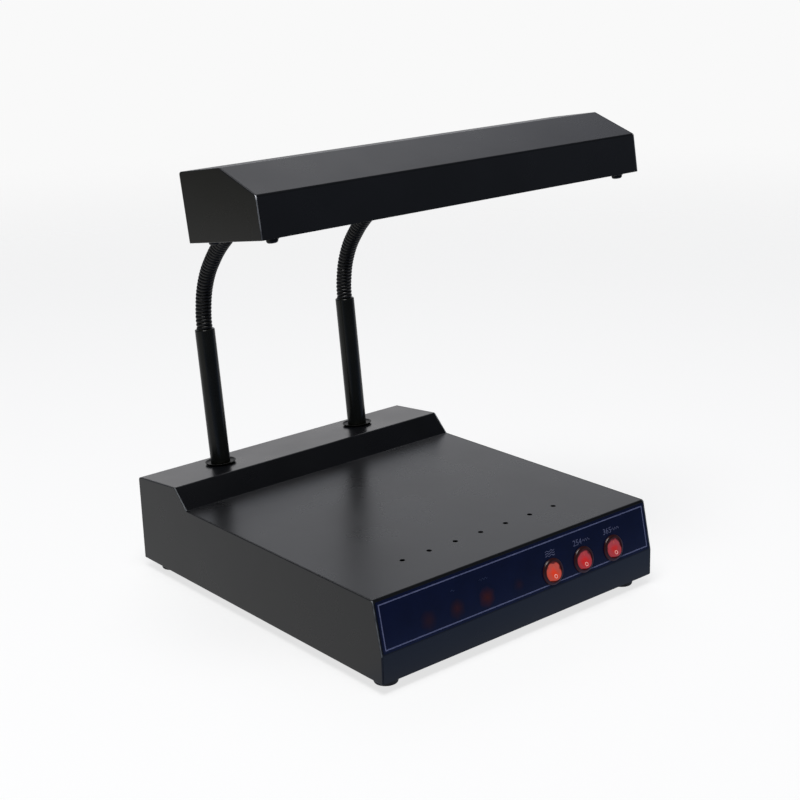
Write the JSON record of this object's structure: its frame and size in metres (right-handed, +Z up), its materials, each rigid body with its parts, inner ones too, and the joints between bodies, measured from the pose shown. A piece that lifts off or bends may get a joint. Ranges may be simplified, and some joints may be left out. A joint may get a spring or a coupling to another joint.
{
  "type": "portable uv lamp",
  "caption": "Bench ultraviolet lamp: low box base with leaning control panel and raised rear ledge, posts with bendable goosenecks that hold a long hooded lamp head over the work surface.",
  "frame": {"origin": "on the floor plane under the middle of the part's box, between the feet", "axes": "+Z up out of the work surface, the control panel faces -Y, +X towards the switches"},
  "size_m": [0.35, 0.3123, 0.353],
  "materials": {
    "black_paint": "satin",
    "black_neck": "satin",
    "dark_fittings": "semi-gloss",
    "zinc_steel": "zinc plated",
    "rubber": "matt",
    "label_film": "semi-gloss film",
    "red_lens": "translucent, gloss",
    "black_plastic": "moulded",
    "white_plastic": "moulded",
    "ballast_case": "satin",
    "brass": "plain",
    "aluminium": "bright rolled",
    "heater_wire": "plain",
    "filter_glass": "polished",
    "clear_glass": "polished",
    "dark_glass": "phosphor coated"
  },
  "bodies": {
    "base": {"air_duct": "zinc_steel", "ballast_long_wave": "ballast_case", "ballast_screws": "zinc_steel", "ballast_short_wave": "ballast_case", "ballast_spacers": "black_plastic", "base_screws": "zinc_steel", "base_shell": "black_paint", "bottom_plate": "black_paint", "fan_frame": "black_plastic", "foot_nuts": "zinc_steel", "foot_screws": "zinc_steel", "front_label": "label_film", "heater_coils": "heater_wire", "heater_frame": "white_plastic", "inlet_pins": "brass", "inlet_screws": "zinc_steel", "neck_roots": "black_neck", "post_left": "black_paint", "post_nuts": "dark_fittings", "post_right": "black_paint", "post_rings": "dark_fittings", "power_inlet": "black_plastic", "rubber_feet": "rubber", "side_plate_left": "black_paint", "side_plate_right": "black_paint", "switch_housings": "black_plastic", "switch_terminals": "brass", "terminal_block": "black_plastic"},
    "rocker_left": {"rocker_1": "red_lens"},
    "rocker_middle": {"rocker_2": "red_lens"},
    "rocker_right": {"rocker_3": "red_lens"},
    "fan": {"fan_impeller": "black_plastic"},
    "neck_link_1": {"neck_link_1": "black_neck"},
    "neck_link_2": {"neck_link_2": "black_neck"},
    "neck_link_3": {"neck_link_3": "black_neck"},
    "neck_link_4": {"neck_link_4": "black_neck"},
    "neck_link_5": {"neck_link_5": "black_neck"},
    "neck_link_6": {"neck_link_6": "black_neck"},
    "neck_link_7": {"neck_link_7": "black_neck"},
    "head": {"head_shell": "black_paint", "head_end_left": "black_paint", "head_end_right": "black_paint", "head_screws": "zinc_steel", "filter_frame": "black_paint", "filter_gasket": "rubber", "filter_glass": "filter_glass", "filter_retainer": "zinc_steel", "reflector": "aluminium", "tube_short_wave": "clear_glass", "tube_long_wave": "dark_glass", "tube_caps": "aluminium", "tube_pins": "brass", "tube_holders": "white_plastic", "holder_brackets": "zinc_steel", "neck_tips": "black_neck", "neck_collars": "dark_fittings", "collar_nuts": "dark_fittings"}
  },
  "joints": [
    {"name": "neck_bend_1", "type": "hinge", "parent": "base", "child": "neck_link_1", "pos_m": [0, 0.14019, 0.20452], "axis": [1, 0, 0], "range_deg": [-7, 7]},
    {"name": "neck_bend_2", "type": "hinge", "parent": "neck_link_1", "child": "neck_link_2", "pos_m": [0, 0.13383, 0.23063], "axis": [1, 0, 0], "range_deg": [-7, 7]},
    {"name": "neck_bend_3", "type": "hinge", "parent": "neck_link_2", "child": "neck_link_3", "pos_m": [0, 0.11923, 0.25319], "axis": [1, 0, 0], "range_deg": [-7, 7]},
    {"name": "neck_bend_4", "type": "hinge", "parent": "neck_link_3", "child": "neck_link_4", "pos_m": [0, 0.09972, 0.27183], "axis": [1, 0, 0], "range_deg": [-7, 7]},
    {"name": "neck_bend_5", "type": "hinge", "parent": "neck_link_4", "child": "neck_link_5", "pos_m": [0, 0.0781, 0.28797], "axis": [1, 0, 0], "range_deg": [-7, 7]},
    {"name": "neck_bend_6", "type": "hinge", "parent": "neck_link_5", "child": "neck_link_6", "pos_m": [0, 0.05469, 0.30139], "axis": [1, 0, 0], "range_deg": [-7, 7]},
    {"name": "neck_bend_7", "type": "hinge", "parent": "neck_link_6", "child": "neck_link_7", "pos_m": [0, 0.02982, 0.31186], "axis": [1, 0, 0], "range_deg": [-7, 7]},
    {"name": "neck_bend_8", "type": "hinge", "parent": "neck_link_7", "child": "head", "pos_m": [0, 0.00387, 0.31926], "axis": [1, 0, 0], "range_deg": [-7, 7]},
    {"name": "rocker_left_press", "type": "hinge", "parent": "base", "child": "rocker_left", "pos_m": [0.0297, -0.14995, 0.04093], "axis": [1, 0, 0], "range_deg": [0, 20]},
    {"name": "rocker_middle_press", "type": "hinge", "parent": "base", "child": "rocker_middle", "pos_m": [0.062, -0.14995, 0.04093], "axis": [1, 0, 0], "range_deg": [0, 20]},
    {"name": "rocker_right_press", "type": "hinge", "parent": "base", "child": "rocker_right", "pos_m": [0.0943, -0.14995, 0.04093], "axis": [1, 0, 0], "range_deg": [0, 20]},
    {"name": "fan_spin", "type": "hinge", "parent": "base", "child": "fan", "pos_m": [0, -0.079, 0.0443], "axis": [0, 1, 0], "continuous": true}
  ],
  "couplings": [
    {"joint": "neck_bend_2", "follows": "neck_bend_1", "ratio": 1},
    {"joint": "neck_bend_3", "follows": "neck_bend_1", "ratio": 1},
    {"joint": "neck_bend_4", "follows": "neck_bend_1", "ratio": 1},
    {"joint": "neck_bend_6", "follows": "neck_bend_5", "ratio": 1},
    {"joint": "neck_bend_7", "follows": "neck_bend_5", "ratio": 1},
    {"joint": "neck_bend_8", "follows": "neck_bend_5", "ratio": 1}
  ]
}
